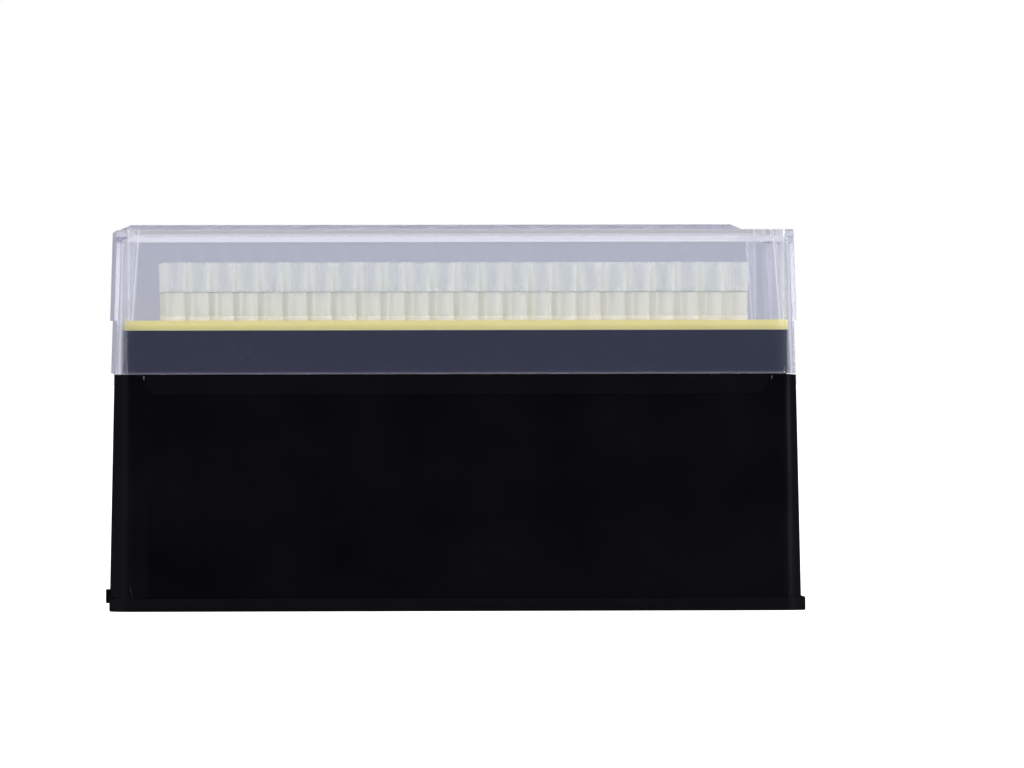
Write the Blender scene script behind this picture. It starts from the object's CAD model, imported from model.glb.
"""Looks of the pipette tip box: black base, yellow tip plate, clear lid and 384 tips of
natural polypropylene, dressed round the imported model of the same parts."""

import math

import bpy
from mathutils import Matrix, Vector

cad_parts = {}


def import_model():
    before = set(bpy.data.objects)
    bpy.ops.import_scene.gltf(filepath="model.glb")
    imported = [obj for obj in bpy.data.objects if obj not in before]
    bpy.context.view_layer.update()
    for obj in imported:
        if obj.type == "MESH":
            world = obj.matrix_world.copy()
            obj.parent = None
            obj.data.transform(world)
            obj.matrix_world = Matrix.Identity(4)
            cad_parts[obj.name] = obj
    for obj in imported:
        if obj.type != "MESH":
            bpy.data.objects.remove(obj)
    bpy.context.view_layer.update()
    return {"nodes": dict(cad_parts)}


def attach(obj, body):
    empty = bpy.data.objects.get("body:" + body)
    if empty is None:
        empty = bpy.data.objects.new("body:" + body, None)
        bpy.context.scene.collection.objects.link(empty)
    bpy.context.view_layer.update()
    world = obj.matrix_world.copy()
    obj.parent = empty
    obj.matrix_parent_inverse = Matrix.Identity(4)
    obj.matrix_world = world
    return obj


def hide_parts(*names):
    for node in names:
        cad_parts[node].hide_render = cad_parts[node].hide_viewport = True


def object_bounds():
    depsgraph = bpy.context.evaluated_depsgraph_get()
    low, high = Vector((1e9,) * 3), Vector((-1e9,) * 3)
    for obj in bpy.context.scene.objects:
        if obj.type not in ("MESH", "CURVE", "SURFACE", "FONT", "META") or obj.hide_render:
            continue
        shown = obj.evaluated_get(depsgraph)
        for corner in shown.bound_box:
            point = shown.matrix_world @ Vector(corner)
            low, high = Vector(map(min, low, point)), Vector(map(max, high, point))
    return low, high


MM = 0.001

# Camera: a long lens, a little to the left of the box and level with the plate
LENS_MM = 432.0
SENSOR_MM = 36.0
VIEW_DISTANCE = 2251 * MM
VIEW_TURN = math.radians(2.43)
VIEW_TILT = math.radians(0.31)
VIEW_ROLL = math.radians(-0.1)
VIEW_CENTRE_X = 9.8 * MM
VIEW_CENTRE_Z = 41.61 * MM
VIEW_REACH = 50

# Floor, in metres, and the two lamps by place, size in metres and watts
FLOOR_SIZE = 9.0
FLOOR_Y = 3.0
FLOOR_COLOUR = "C8C8C8"
LAMP_AIM = (0, 0, 0.05)
LAMPS = {
    "left_lamp": ((-1.0, -0.9, 1.0), 0.7, 13),
    "right_lamp": ((1.2, -0.9, 0.5), 0.42, 12),
}

# Surroundings: tint, then strength of the front, of the sweep behind, overhead and aside
ROOM_LIGHT = ("FFFFFF", 0.1, 0.55, 0.75, 0.4)
LIGHT_IN_GLASS = ("F4F6FF", 0.6, 0.56, 0.95, 0.8)
LIGHT_IN_GLOSS = ("EEF0FF", 0.02, 0.45, 0.62, 0.45)
BEHIND = (-0.35, 0.35)
OVERHEAD = (0.5, 0.85)
ASIDE = (0.5, 0.85)

# How many see-through layers and bounces light is followed for
SEE_THROUGH_LAYERS = 64
BOUNCES = 24

# Noise is given as the size of its lumps and its detail, bumps as size, detail and strength
GRAIN_DEPTH = 0.02 * MM

# Base: its colour, its soft gloss and smudges, and the specks of dust on it
BASE_COLOUR = "020204"
BASE_SHEEN_COLOUR = "F0F0FF"
BASE_SHEEN = 0.016
BASE_ROUGHNESS = (0.2, 0.28)
BASE_SMUDGES = (14 * MM, 4.0)
SMUDGE_RANGE = (0.35, 0.7)
BASE_GRAIN = (0.35 * MM, 2.0, 0.15)
DUST_COLOUR = "8C8C92"
DUST_SPACING = 11 * MM
DUST_SIZE = 0.014
DUST_LEFT_OUT = 0.6

# Plate: its level and thickness, and its shades from its underside up to its top
PLATE_TOP = 53.3 * MM
PLATE_THICKNESS = 1.8 * MM
PLATE_SHADES = ((0.05, "BAB278"), (0.3, "C0B86C"), (0.62, "D2C881"), (1.0, "CEC47C"))
PLATE_MOTTLE = 0.1
PLATE_CLOUDS = (9 * MM, 3.0)
PLATE_GRAIN = (0.3 * MM, 2.0, 0.1)
PLATE_ROUGHNESS = 0.42
PLATE_GLOW = 0.15
PLATE_GLOW_REACH = (1 * MM, 0.9 * MM, 0.4 * MM)

# Plastic: refraction of polypropylene
PLASTIC_IOR = 1.49

# Tips: the levels of their parts, how dense their walls look, and their tints
SEAT_HEIGHT = 0.8 * MM
SEAT_END = (PLATE_TOP + SEAT_HEIGHT + 0.02 * MM, PLATE_TOP + SEAT_HEIGHT - 0.02 * MM)
COLLAR_FOOT = 58.5 * MM
COLLAR_START = (COLLAR_FOOT - 0.05 * MM, COLLAR_FOOT + 0.05 * MM)
COLLAR_DENSITY = 0.22
RIB_DENSITY = 0.75
EDGE_DENSITY = 0.95
EDGE_BLEND = 0.5
RIB_TINT = "E2E2DC"
COLLAR_TINT = "E4E5E1"
SEAT_TINT = "EEECE3"
COLLAR_LINE_TINT = "BFC1BE"
COLLAR_LINE = 0.12 * MM
CLEAR_TIP_TINT = "F8F9FB"
TIP_CLOUDS = (3 * MM, 3.0)
TIP_ROUGHNESS = (0.18, 0.3)
TIP_GLOW = 0.5
LAMPLIGHT_THROUGH_TIPS = 0.975

# Lid: the levels and slopes of its outside, as packed
LID_TOP = 69.94 * MM
LID_ROOF = 68.7 * MM
LID_RIM = 43.45 * MM
LID_HEIGHT = 26.49 * MM
LID_DRAFT = 0.85 * MM
LID_HALF_WIDTH = 41.04 * MM
LID_REST_X = -0.3 * MM
ROOF_START = (LID_ROOF - 0.1 * MM, LID_ROOF + 0.1 * MM)
CROWN_START = (LID_TOP + 0.1 * MM, LID_TOP + 0.3 * MM)
RIM_START = (LID_RIM + 0.5 * MM, LID_RIM + 0.2 * MM)

# Lid: how hazy each part is, and the tints of the haze
LID_TINT = "FAFAFC"
LID_ROUGHNESS = 0.03
HAZE_TINT = "8493DD"
MILK_TINT = "E2E4EC"
DEEP_TINT = "EAEAEE"
DEEP_ROOF_TINT = "A6A8BA"
WALL_HAZE = 0.025
TOP_HAZE = 0.21
CROWN_HAZE = 0.06
RIM_HAZE = 0.05
LONG_WAY = 4.5
LAMPLIGHT_THROUGH_LID = 0.94

# Grips at the lid's ends: where they start and end, how milky they are in between, and
# the slanted line at their border
GRIP_START = 56.4 * MM
GRIP_END = 62.7 * MM
GRIP_MILK = ((0.0, 0.25), (0.54, 0.3), (0.58, 0.8), (0.76, 0.8), (0.82, 0.45), (0.92, 0.35),
             (1.0, 0.1))
GRIP_BORDER = 59.35 * MM
GRIP_SLANT = 0.078
GRIP_LINE = 0.18 * MM
GRIP_LINE_MILK = 0.45
GRIP_PROUD = (0.1 * MM, 0.3 * MM)
STREAKS = (0.5 * MM, 2.0)
STREAK_STRETCH = (1, 1, 0.03)
STREAK_RANGE = (0.3, 0.7)
STREAK_CONTRAST = (0.75, 1.25)

# Rounding of the moulded edges, as radius and steps, and the smoothing over them
BASE_EDGE = (0.35 * MM, 3)
LID_EDGE = (0.12 * MM, 2)
PLATE_EDGE = (0.5 * MM, 3)
SHARP_EDGE = math.radians(30)
SMOOTH_ANGLE = math.radians(35)
FLAT_FACE = math.radians(0.6)
FLAT_FACE_WEIGHT = 100
WELD = 0.002 * MM

# The planes that cut a solid into nine fields, and the fields by column and row
CUT_X = 57 * MM
CUT_Y = 36.5 * MM
ALL_FIELDS = [(column, row) for column in (-1, 0, 1) for row in (-1, 0, 1)]


def linear(code):
    """An sRGB hex colour as linear RGBA."""
    parts = [int(code[i:i + 2], 16) / 255 for i in (0, 2, 4)]
    return [c / 12.92 if c <= 0.04045 else ((c + 0.055) / 1.055) ** 2.4 for c in parts] + [1]


def grey(level):
    """A linear grey."""
    return [level, level, level, 1]


def add_node(tree, kind, feeds=None, **settings):
    """Adds a node, sets its properties, and feeds its inputs with sockets or plain values."""
    made = tree.nodes.new(kind)
    for name, value in settings.items():
        setattr(made, name, value)
    for name, value in (feeds or {}).items():
        if isinstance(value, bpy.types.NodeSocket):
            tree.links.new(value, made.inputs[name])
        else:
            made.inputs[name].default_value = value
    return made


def calculate(tree, operation, *values):
    """A maths node over sockets and plain numbers."""
    return add_node(tree, "ShaderNodeMath", dict(enumerate(values)), operation=operation).outputs[0]


def span(tree, value, start, end, low=0.0, high=1.0, interpolation="LINEAR"):
    """How far a value has come from start to end, as a number from low to high."""
    return add_node(tree, "ShaderNodeMapRange", {
        "Value": value, "From Min": start, "From Max": end, "To Min": low, "To Max": high},
        interpolation_type=interpolation).outputs[0]


def noise(tree, place, size, detail):
    """Soft noise whose lumps are about this size."""
    return add_node(tree, "ShaderNodeTexNoise", {
        "Vector": place, "Scale": 1 / size, "Detail": detail}).outputs["Fac"]


def grain_bump(tree, place, size, detail, strength):
    """The fine grain that a mould leaves."""
    return add_node(tree, "ShaderNodeBump", {
        "Height": noise(tree, place, size, detail), "Strength": strength,
        "Distance": GRAIN_DEPTH}).outputs[0]


def colour_ramp(tree, value, stops):
    """Colours along a value, from stops of position and colour."""
    made = add_node(tree, "ShaderNodeValToRGB", {"Fac": value})
    ramp = made.color_ramp.elements
    for stop, (position, colour) in ((ramp[0], stops[0]), (ramp[1], stops[-1])):
        stop.position, stop.color = position, colour
    for position, colour in stops[1:-1]:
        ramp.new(position).color = colour
    return made.outputs[0]


def mix_colours(tree, share, first, second):
    """A mix of two colours, where share is how much there is of the second."""
    return add_node(tree, "ShaderNodeMix", {0: share, 6: first, 7: second},
                    data_type="RGBA").outputs[2]


def mix_shaders(tree, share, first, second):
    """A mix of two shaders, where share is how much there is of the second."""
    return add_node(tree, "ShaderNodeMixShader", {0: share, 1: first, 2: second}).outputs[0]


def shader(tree, kind, feeds):
    """The output of a shader node."""
    return add_node(tree, kind, feeds).outputs[0]


def point_in(tree, space):
    """The shaded point, or the direction of the sky, in a space of texture coordinates."""
    return add_node(tree, "ShaderNodeTexCoord").outputs[space]


def axes_of(tree, place):
    """The X, Y and Z of a point."""
    return add_node(tree, "ShaderNodeSeparateXYZ", {0: place}).outputs


def new_material(name):
    """An empty node material and its tree."""
    material = bpy.data.materials.new(name)
    material.use_nodes = True
    material.node_tree.nodes.clear()
    return material, material.node_tree


def wear_material(item, material):
    """Gives an object this one material."""
    item.data.materials.clear()
    item.data.materials.append(material)


def black_polypropylene():
    """Injection-moulded black polypropylene: a deep black with a soft gloss, the fine grain
    of the mould and a few specks of dust."""
    material, tree = new_material("black_moulded_polypropylene")
    place = point_in(tree, "Object")
    bump = grain_bump(tree, place, *BASE_GRAIN)
    smudges = noise(tree, place, *BASE_SMUDGES)
    roughness = span(tree, smudges, *SMUDGE_RANGE, *BASE_ROUGHNESS)
    cells = add_node(tree, "ShaderNodeTexVoronoi", {"Vector": place, "Scale": 1 / DUST_SPACING})
    near = calculate(tree, "LESS_THAN", cells.outputs["Distance"], DUST_SIZE)
    draw = add_node(tree, "ShaderNodeSeparateColor", {"Color": cells.outputs["Color"]}).outputs[0]
    speck = calculate(tree, "MULTIPLY", near, calculate(tree, "GREATER_THAN", draw, DUST_LEFT_OUT))
    body = shader(tree, "ShaderNodeBsdfDiffuse", {
        "Color": mix_colours(tree, speck, linear(BASE_COLOUR), linear(DUST_COLOUR)),
        "Normal": bump})
    sheen = shader(tree, "ShaderNodeBsdfAnisotropic", {
        "Color": linear(BASE_SHEEN_COLOUR), "Roughness": roughness, "Normal": bump})
    add_node(tree, "ShaderNodeOutputMaterial", {
        "Surface": mix_shaders(tree, BASE_SHEEN, body, sheen)})
    return material


def yellow_polypropylene():
    """Injection-moulded yellow polypropylene: a warm yellow, darker towards its underside,
    faintly mottled and matt, with fine grain."""
    material, tree = new_material("yellow_moulded_polypropylene")
    place = point_in(tree, "Object")
    axes = axes_of(tree, place)
    height = span(tree, axes["Z"], PLATE_TOP - PLATE_THICKNESS, PLATE_TOP)
    clouds = noise(tree, place, *PLATE_CLOUDS)
    mottle = span(tree, clouds, 0, 1, -PLATE_MOTTLE, PLATE_MOTTLE)
    shades = [(position, linear(code)) for position, code in PLATE_SHADES]
    surface = shader(tree, "ShaderNodeBsdfPrincipled", {
        "Base Color": colour_ramp(tree, calculate(tree, "ADD", height, mottle), shades),
        "Normal": grain_bump(tree, place, *PLATE_GRAIN),
        "Roughness": PLATE_ROUGHNESS, "IOR": PLASTIC_IOR, "Subsurface Weight": PLATE_GLOW,
        "Subsurface Radius": PLATE_GLOW_REACH, "Subsurface Scale": 1.0})
    add_node(tree, "ShaderNodeOutputMaterial", {"Surface": surface})
    return material


def lamplight_through(tree, surface, share):
    """A shader that lets lamplight pass, so that what is inside stays lit."""
    path = add_node(tree, "ShaderNodeLightPath")
    passing = shader(tree, "ShaderNodeBsdfTransparent", {"Color": grey(share)})
    return mix_shaders(tree, path.outputs["Is Shadow Ray"], surface, passing)


def etched_grips(tree, place, axes):
    """How milky the front and back faces of the lid's grips are: they stand proud of the
    leaning walls, are etched in upright streaks and have a slanted line at their border."""
    slope = LID_DRAFT / LID_HEIGHT
    wall = calculate(tree, "MULTIPLY_ADD", axes["Z"], -slope, LID_HALF_WIDTH + slope * LID_RIM)
    proud = calculate(tree, "SUBTRACT", calculate(tree, "ABSOLUTE", axes["Y"]), wall)
    face = span(tree, proud, *GRIP_PROUD)

    along = calculate(tree, "ABSOLUTE", calculate(tree, "SUBTRACT", axes["X"], LID_REST_X))
    reach = span(tree, along, GRIP_START, GRIP_END)
    milk = colour_ramp(tree, reach, [(position, grey(level)) for position, level in GRIP_MILK])

    upright = add_node(tree, "ShaderNodeMapping", {
        "Vector": place, "Scale": STREAK_STRETCH}).outputs[0]
    streaks = span(tree, noise(tree, upright, *STREAKS), *STREAK_RANGE, *STREAK_CONTRAST)

    slant = calculate(tree, "MULTIPLY_ADD", axes["Z"], GRIP_SLANT, -GRIP_SLANT * PLATE_TOP)
    border = calculate(tree, "ADD", along, slant)
    line = calculate(tree, "COMPARE", border, GRIP_BORDER, GRIP_LINE)
    inside = calculate(tree, "GREATER_THAN", border, GRIP_BORDER)
    patch = calculate(tree, "MULTIPLY", calculate(tree, "MULTIPLY", milk, streaks), inside)
    lined = calculate(tree, "MULTIPLY_ADD", line, GRIP_LINE_MILK, patch)
    return calculate(tree, "MULTIPLY", lined, face)


def clear_polypropylene():
    """Clarified polypropylene: clear and glossy with a faint lavender haze, milkier in the
    thick top, along the lower rim and on the grips, and milky all through where light has
    gone a long way inside it."""
    material, tree = new_material("clear_clarified_polypropylene")
    place = point_in(tree, "Object")
    axes = axes_of(tree, place)
    height = axes["Z"]
    in_roof = span(tree, height, *ROOF_START)
    roof_milk = span(tree, height, *CROWN_START, TOP_HAZE, CROWN_HAZE)
    rim_milk = span(tree, height, *RIM_START, 0, RIM_HAZE)
    milkiness = calculate(tree, "ADD", calculate(tree, "MULTIPLY", in_roof, roof_milk), rim_milk)
    milkiness = calculate(tree, "MAXIMUM", milkiness, etched_grips(tree, place, axes))

    clear = shader(tree, "ShaderNodeBsdfPrincipled", {
        "Base Color": linear(LID_TINT), "Roughness": LID_ROUGHNESS, "IOR": PLASTIC_IOR,
        "Transmission Weight": 1.0})
    haze = shader(tree, "ShaderNodeBsdfDiffuse", {"Color": linear(HAZE_TINT)})
    milk = shader(tree, "ShaderNodeBsdfDiffuse", {"Color": linear(MILK_TINT)})
    skin = mix_shaders(tree, milkiness, mix_shaders(tree, WALL_HAZE, clear, haze), milk)

    path = add_node(tree, "ShaderNodeLightPath")
    gone_far = calculate(tree, "GREATER_THAN", path.outputs["Ray Depth"], LONG_WAY)
    deep = shader(tree, "ShaderNodeBsdfDiffuse", {
        "Color": mix_colours(tree, in_roof, linear(DEEP_TINT), linear(DEEP_ROOF_TINT))})
    surface = mix_shaders(tree, gone_far, skin, deep)
    add_node(tree, "ShaderNodeOutputMaterial", {
        "Surface": lamplight_through(tree, surface, LAMPLIGHT_THROUGH_LID)})
    return material


def natural_polypropylene():
    """Unfilled polypropylene of the tips: milky and translucent, clearest where the thin
    collar faces the eye, denser in the ribs and at its edges, whitest in the seat rings."""
    material, tree = new_material("natural_polypropylene")
    place = point_in(tree, "Object")
    axes = axes_of(tree, place)
    height = axes["Z"]
    in_seat = span(tree, height, *SEAT_END)
    in_collar = span(tree, height, *COLLAR_START)
    facing = add_node(tree, "ShaderNodeLayerWeight", {"Blend": EDGE_BLEND}).outputs["Facing"]
    wall = span(tree, in_collar, 0, 1, RIB_DENSITY, COLLAR_DENSITY)
    density = calculate(
        tree, "MAXIMUM", span(tree, facing, 0, 1, wall, EDGE_DENSITY), in_seat)

    tint = mix_colours(tree, in_collar, linear(RIB_TINT), linear(COLLAR_TINT))
    on_line = calculate(tree, "COMPARE", height, COLLAR_FOOT, COLLAR_LINE)
    tint = mix_colours(tree, on_line, tint, linear(COLLAR_LINE_TINT))
    tint = mix_colours(tree, in_seat, tint, linear(SEAT_TINT))

    roughness = span(tree, noise(tree, place, *TIP_CLOUDS), 0, 1, *TIP_ROUGHNESS)
    skin = shader(tree, "ShaderNodeBsdfPrincipled", {
        "Base Color": tint, "Roughness": roughness, "IOR": PLASTIC_IOR})
    glow = shader(tree, "ShaderNodeBsdfTranslucent", {"Color": tint})
    clear = shader(tree, "ShaderNodeBsdfTransparent", {"Color": linear(CLEAR_TIP_TINT)})
    surface = mix_shaders(tree, density, clear, mix_shaders(tree, TIP_GLOW, skin, glow))
    add_node(tree, "ShaderNodeOutputMaterial", {
        "Surface": lamplight_through(tree, surface, LAMPLIGHT_THROUGH_TIPS)})
    return material


def set_camera():
    """The camera, a long way in front of the box."""
    turn = (Matrix.Rotation(-VIEW_TURN, 3, "Z") @ Matrix.Rotation(math.pi / 2 - VIEW_TILT, 3, "X")
            @ Matrix.Rotation(VIEW_ROLL, 3, "Z"))
    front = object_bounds()[0][1]
    aim = Vector((VIEW_CENTRE_X, front, VIEW_CENTRE_Z))
    data = bpy.data.cameras.new("view_camera")
    data.lens = LENS_MM
    data.sensor_width = SENSOR_MM
    data.clip_end = VIEW_REACH
    camera = bpy.data.objects.new("view_camera", data)
    camera.location = aim - turn @ Vector((0, 0, -1)) * VIEW_DISTANCE
    camera.rotation_euler = turn.to_euler()
    bpy.context.scene.collection.objects.link(camera)
    bpy.context.scene.camera = camera


def set_world():
    """A white sweep behind and above the box, and a dim room in front of it."""
    world = bpy.data.worlds.new("studio")
    world.use_nodes = True
    tree = world.node_tree
    tree.nodes.clear()
    axes = axes_of(tree, point_in(tree, "Generated"))
    across = calculate(tree, "ABSOLUTE", axes["X"])
    behind = span(tree, axes["Y"], *BEHIND, interpolation="SMOOTHSTEP")
    above = span(tree, axes["Z"], *OVERHEAD, interpolation="SMOOTHSTEP")
    beside = span(tree, across, *ASIDE, interpolation="SMOOTHSTEP")

    def surroundings(tint, front, sweep, overhead, sides):
        level = span(tree, behind, 0, 1, front, sweep)
        for share, value in ((beside, sides), (above, overhead)):
            level = add_node(tree, "ShaderNodeMix", {0: share, 2: level, 3: value},
                             data_type="FLOAT").outputs[0]
        return shader(tree, "ShaderNodeBackground", {"Color": linear(tint), "Strength": level})

    rays = add_node(tree, "ShaderNodeLightPath").outputs
    white = shader(tree, "ShaderNodeBackground", {"Color": grey(1), "Strength": 1.0})
    shown = surroundings(*ROOM_LIGHT)
    shown = mix_shaders(tree, rays["Is Glossy Ray"], shown, surroundings(*LIGHT_IN_GLOSS))
    shown = mix_shaders(tree, rays["Is Transmission Ray"], shown, surroundings(*LIGHT_IN_GLASS))
    shown = mix_shaders(tree, rays["Is Camera Ray"], shown, white)
    add_node(tree, "ShaderNodeOutputWorld", {"Surface": shown})
    bpy.context.scene.world = world


def add_floor():
    """A plain white floor that keeps the box's soft shadow."""
    bpy.ops.mesh.primitive_plane_add(size=FLOOR_SIZE, location=(0, FLOOR_Y, 0))
    floor = bpy.context.object
    floor.name = "floor"
    material, tree = new_material("white_studio_floor")
    path = add_node(tree, "ShaderNodeLightPath")
    matt = shader(tree, "ShaderNodeBsdfDiffuse", {"Color": linear(FLOOR_COLOUR)})
    glow = shader(tree, "ShaderNodeEmission", {
        "Color": grey(1), "Strength": path.outputs["Is Camera Ray"]})
    add_node(tree, "ShaderNodeOutputMaterial", {
        "Surface": shader(tree, "ShaderNodeAddShader", {0: matt, 1: glow})})
    wear_material(floor, material)


def add_lamp(name, place, size, watts):
    """A square soft lamp at a place, turned to the box."""
    data = bpy.data.lights.new(name, "AREA")
    data.shape = "SQUARE"
    data.size = size
    data.energy = watts
    lamp = bpy.data.objects.new(name, data)
    lamp.location = place
    lamp.rotation_euler = (Vector(LAMP_AIM) - Vector(place)).to_track_quat("-Z", "Y").to_euler()
    bpy.context.scene.collection.objects.link(lamp)


def field_of(middle):
    """The field, by column and row, that a point lies in."""
    return (middle.x > CUT_X) - (middle.x < -CUT_X), (middle.y > CUT_Y) - (middle.y < -CUT_Y)


def select_field(piece, field):
    """Leaves selected, in edit mode, the faces of one field."""
    bpy.ops.object.mode_set(mode="EDIT")
    bpy.ops.mesh.select_mode(type="FACE")
    bpy.ops.mesh.select_all(action="DESELECT")
    bpy.ops.object.mode_set(mode="OBJECT")
    for face in piece.data.polygons:
        face.select = field_of(face.center) == field
    bpy.ops.object.mode_set(mode="EDIT")


def welded_copy(source, name, fields):
    """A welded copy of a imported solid, cut along four upright planes into nine fields; in
    the fields asked for, each flat face is one face."""
    piece = bpy.data.objects.new(name, source.data.copy())
    bpy.context.scene.collection.objects.link(piece)
    bpy.ops.object.select_all(action="DESELECT")
    piece.select_set(True)
    bpy.context.view_layer.objects.active = piece
    bpy.ops.object.mode_set(mode="EDIT")
    bpy.ops.mesh.select_all(action="SELECT")
    bpy.ops.mesh.remove_doubles(threshold=WELD)
    for normal, reach in (((1, 0, 0), CUT_X), ((0, 1, 0), CUT_Y)):
        for side in (-1, 1):
            bpy.ops.mesh.select_all(action="SELECT")
            bpy.ops.mesh.bisect(plane_co=Vector(normal) * reach * side, plane_no=normal)
    for field in fields:
        select_field(piece, field)
        bpy.ops.mesh.dissolve_limited(angle_limit=FLAT_FACE)
    bpy.ops.object.mode_set(mode="OBJECT")
    return piece


def round_edges(piece, radius, steps, wanted):
    """Rounds the sharp edges that pass the test wanted, by their middle and if outward."""
    bpy.ops.object.mode_set(mode="EDIT")
    bpy.ops.mesh.select_mode(type="EDGE")
    bpy.ops.mesh.select_all(action="DESELECT")
    bpy.ops.object.mode_set(mode="OBJECT")
    mesh = piece.data
    sides_of = {}
    for face in mesh.polygons:
        for key in face.edge_keys:
            sides_of.setdefault(key, []).append((face.normal.copy(), face.center.copy()))
    for edge in mesh.edges:
        (normal, _), (other_normal, other_centre) = sides_of[edge.key][:2]
        middle = (mesh.vertices[edge.vertices[0]].co + mesh.vertices[edge.vertices[1]].co) / 2
        sharp = normal.angle(other_normal, 0) > SHARP_EDGE
        outward = (other_centre - middle).dot(normal) < 0
        edge.select = sharp and wanted(middle, outward)
    bpy.ops.object.mode_set(mode="EDIT")
    bpy.ops.mesh.bevel(offset=radius, segments=steps, affect="EDGES", clamp_overlap=True)
    bpy.ops.object.mode_set(mode="OBJECT")
    bpy.ops.object.shade_smooth_by_angle(angle=SMOOTH_ANGLE)
    flat_faces = piece.modifiers.new("flat_faces", "WEIGHTED_NORMAL")
    flat_faces.keep_sharp = True
    flat_faces.weight = FLAT_FACE_WEIGHT
    bpy.ops.object.modifier_apply(modifier=flat_faces.name)


def finish_piece(piece, material, body, node):
    """Gives a piece its material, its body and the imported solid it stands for."""
    wear_material(piece, material)
    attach(piece, body)
    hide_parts(node)


def build_base(frame, material):
    """The base with the rounded edges of a moulding."""
    piece = welded_copy(frame["nodes"]["base"], "moulded_base", ALL_FIELDS)
    round_edges(piece, *BASE_EDGE, lambda middle, outward: outward)
    finish_piece(piece, material, "rack", "base")


def build_plate(frame, material):
    """The tip plate, with its outer edges rounded; the middle field has the holes."""
    edge_fields = [field for field in ALL_FIELDS if field != (0, 0)]
    piece = welded_copy(frame["nodes"]["plate"], "moulded_tip_plate", edge_fields)
    round_edges(piece, *PLATE_EDGE, lambda middle, outward: (
        outward and field_of(middle) != (0, 0)))
    finish_piece(piece, material, "rack", "plate")


def build_lid(frame, material):
    """The lid with the crisp edges of a clear moulding."""
    piece = welded_copy(frame["nodes"]["lid"], "moulded_lid", ALL_FIELDS)
    round_edges(piece, *LID_EDGE, lambda middle, outward: True)
    finish_piece(piece, material, "lid", "lid")


def main():
    """Loads the frame, dresses it and sets the stage."""
    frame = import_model()
    bpy.ops.object.select_all(action="DESELECT")
    scene = bpy.context.scene
    scene.view_settings.view_transform = "Standard"
    scene.cycles.transparent_max_bounces = SEE_THROUGH_LAYERS
    scene.cycles.max_bounces = BOUNCES
    scene.cycles.transmission_bounces = BOUNCES
    scene.cycles.glossy_bounces = BOUNCES

    set_camera()
    set_world()
    add_floor()
    for name, (place, size, watts) in LAMPS.items():
        add_lamp(name, place, size, watts)

    black = black_polypropylene()
    yellow = yellow_polypropylene()
    clear = clear_polypropylene()
    natural = natural_polypropylene()
    for name, item in frame["nodes"].items():
        look = {"base": black, "plate": yellow, "lid": clear}.get(name, natural)
        wear_material(item, look)
    build_base(frame, black)
    build_plate(frame, yellow)
    build_lid(frame, clear)


main()
